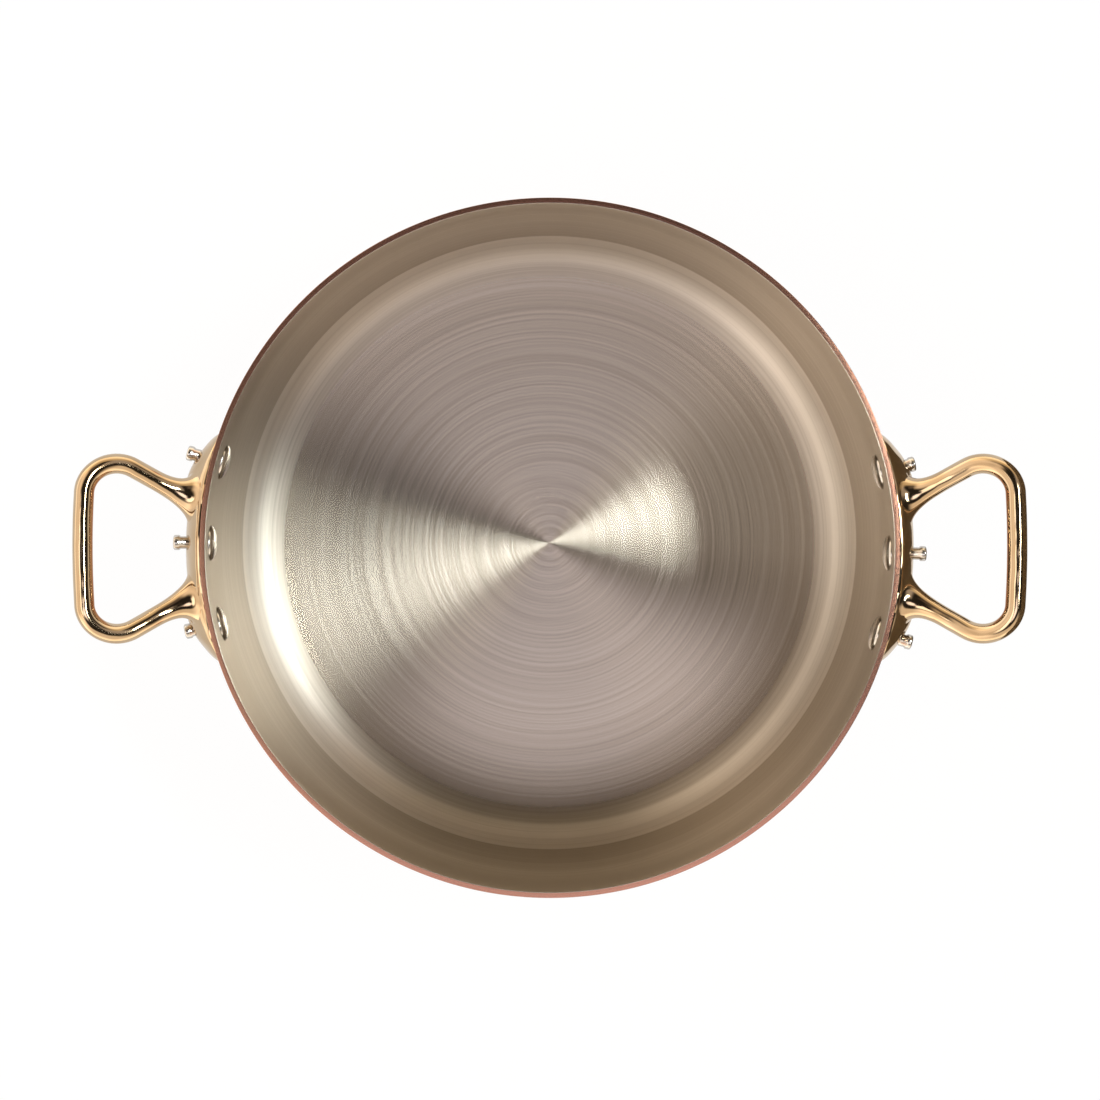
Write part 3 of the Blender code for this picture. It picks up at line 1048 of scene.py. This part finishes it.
@dataclass(frozen=True)
class Studio:
    """Pale floor, and a dome that is pale at the horizon, dim above it, and hung with soft panels."""

    floor_size: float = 12.0
    floor_colour: tuple[float, float, float] = (0.98, 0.98, 0.98)
    floor_glow: float = 0.95
    flag_distance: float = 0.23
    flag_width: float = 0.40
    flag_height: float = 0.18
    flag_colour: tuple[float, float, float] = (0.10, 0.08, 0.05)
    flag_roughness: float = 0.8
    horizon: tuple[float, float, float] = (1.12, 1.02, 0.86)
    zenith: tuple[float, float, float] = (0.03, 0.025, 0.02)
    horizon_height: float = 0.20
    zenith_height: float = 0.48
    # Name, azimuth, half width, lowest and highest elevation, softness of sides and edges, radiance
    panels: tuple[SoftPanel, ...] = (
        SoftPanel("key", 9.0, 23.5, 59.4, 65.0, (4.0, 14.0), 1.4, (15.0, 16.1, 15.6)),
        SoftPanel("key middle", 13.5, 13.5, 59.4, 64.8, (26.0, 24.0), 1.4, (31.0, 33.5, 33.0)),
        SoftPanel("side", 32.0, 21.0, 36.0, 72.0, (24.0, 20.0), 6.0, (0.55, 0.49, 0.45)),
        SoftPanel("left wall", 180.0, 62.0, -10.0, 58.0, (36.0, 50.0), 24.0, (0.80, 0.72, 0.66)),
        SoftPanel("left middle", 168.0, 56.0, 26.0, 62.0, (24.0, 36.0), 14.0, (0.60, 0.48, 0.33)),
        SoftPanel("back wall", 90.0, 50.0, -10.0, 38.0, (40.0, 40.0), 12.0, (1.00, 0.79, 0.50)),
        SoftPanel("front wall", 270.0, 56.0, -10.0, 50.0, (30.0, 30.0), 8.0, (1.20, 1.04, 0.86)),
        SoftPanel("back", 128.0, 48.0, 40.0, 57.5, (20.0, 16.0), 8.0, (0.15, 0.12, 0.10)),
        SoftPanel("front high", 279.0, 48.0, 70.6, 86.0, (38.0, 38.0), 8.0, (2.45, 2.30, 2.45)),
        SoftPanel("left high", 205.0, 30.0, 58.0, 71.0, (20.0, 24.0), 3.0, (2.6, 2.45, 2.3)),
    )

    def build(self) -> None:
        """Build the floor, the flag and the dome with its panels."""
        self.build_floor()
        self.build_flag()
        self.build_dome()

    def build_flag(self) -> None:
        """Build a dark card beside the pot. Only the metal's reflections show it."""
        x = self.flag_distance
        half = self.flag_width / 2
        mesh = bpy.data.meshes.new("flag")
        corners = [(x, -half, 0), (x, half, 0), (x, half, self.flag_height), (x, -half, self.flag_height)]
        mesh.from_pydata(corners, [], [(0, 1, 2, 3)])
        flag = bpy.data.objects.new("flag", mesh)
        flag.visible_camera = False
        flag.visible_diffuse = False
        flag.visible_shadow = False
        bpy.context.scene.collection.objects.link(flag)
        material = bpy.data.materials.new("dark card")
        material.use_nodes = True
        shader = material.node_tree.nodes["Principled BSDF"]
        shader.inputs["Base Color"].default_value = (*self.flag_colour, 1)
        shader.inputs["Roughness"].default_value = self.flag_roughness
        mesh.materials.append(material)

    def build_floor(self) -> None:
        """Build a plain pale floor. What looks at it sees it glow white, with the shadows on it."""
        half = self.floor_size / 2
        mesh = bpy.data.meshes.new("floor")
        corners = [(-half, -half, 0), (half, -half, 0), (half, half, 0), (-half, half, 0)]
        mesh.from_pydata(corners, [], [(0, 1, 2, 3)])
        floor = bpy.data.objects.new("floor", mesh)
        bpy.context.scene.collection.objects.link(floor)
        material = bpy.data.materials.new("pale floor")
        material.use_nodes = True
        sheet = NodeSheet(material.node_tree)
        tree = material.node_tree
        tree.nodes.remove(tree.nodes["Principled BSDF"])
        diffuse = sheet.add("BsdfDiffuse", {"Color": (*self.floor_colour, 1)})
        white = sheet.add("Emission", {"Color": (1, 1, 1, 1), "Strength": 1.0})
        rays = sheet.add("LightPath").outputs
        seen = sheet.math("MAXIMUM", rays["Is Camera Ray"], rays["Is Glossy Ray"])
        seen = sheet.math("MAXIMUM", seen, rays["Is Transmission Ray"])
        share = sheet.math("MULTIPLY", seen, self.floor_glow)
        mix = sheet.add("MixShader", {0: share, 1: diffuse.outputs[0], 2: white.outputs[0]})
        sheet.feed(tree.nodes["Material Output"], "Surface", mix.outputs[0])
        mesh.materials.append(material)

    def build_dome(self) -> None:
        """Build a world of one gradient by height, pale at the horizon and dim above, plus the panels."""
        world = bpy.data.worlds.new("dome")
        bpy.context.scene.world = world
        world.use_nodes = True
        sheet = NodeSheet(world.node_tree)
        place = sheet.add("TexCoord").outputs["Generated"]
        direction = sheet.add("SeparateXYZ", {0: place})
        share = sheet.step(direction.outputs["Z"], self.horizon_height, self.zenith_height)
        total = sheet.tint((*self.horizon, 1), (*self.zenith, 1), share)
        for panel in self.panels:
            light = panel.add(sheet, direction)
            total = sheet.add("VectorMath", {0: total, 1: light}, operation="ADD").outputs[0]
            LOG.info("light panel %s", panel.name)
        background = world.node_tree.nodes["Background"]
        sheet.feed(background, "Color", total)


@dataclass(frozen=True)
class Viewpoint:
    """The camera of the photograph: straight above the pot, a little behind its middle."""

    height_over_rim: float = 0.900
    offset: tuple[float, float] = (-0.0017, 0.0167)
    aim: tuple[float, float] = (0.0, -0.00045)
    span: float = 0.3767
    sensor: float = 0.036

    def build(self) -> bpy.types.Object:
        """Make the camera. It looks down at the aim in the rim's plane, with +Y up in the picture.

        Returns:
            The camera's object.
        """
        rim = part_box("copper_shell")[1].z
        place = Vector((*self.offset, rim + self.height_over_rim))
        back = (place - Vector((*self.aim, rim))).normalized()
        right = Vector((0, 1, 0)).cross(back).normalized()
        up = back.cross(right)
        data = bpy.data.cameras.new("camera")
        data.sensor_width = self.sensor * 1000
        data.lens = self.sensor * 1000 * self.height_over_rim / self.span
        camera = bpy.data.objects.new("camera", data)
        camera.matrix_world = Matrix.Translation(place) @ Matrix((right, up, back)).transposed().to_4x4()
        bpy.context.scene.collection.objects.link(camera)
        bpy.context.scene.camera = camera
        return camera


def main() -> None:
    """Build the pot, its handles and rivets, the studio and the camera."""
    logging.basicConfig(level=logging.INFO, format="%(message)s")
    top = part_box("copper_shell")[1]
    pot = Pot(radius=top.x, height=top.z)
    rivets = RivetRow(pot=pot, tail_end=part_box("rivet_right_2")[1].x)
    handle = Handle(pot=pot, rivets=rivets)
    pot.build()
    bronze = HANDLE_FINISH.material()
    steel = RIVET_FINISH.material()
    for side in Side:
        handle.build(side, bronze)
        rivets.build(side, steel)
    Studio().build()
    Viewpoint().build()
    bpy.context.scene.view_settings.view_transform = "Standard"


if __name__ == "__main__":
    main()
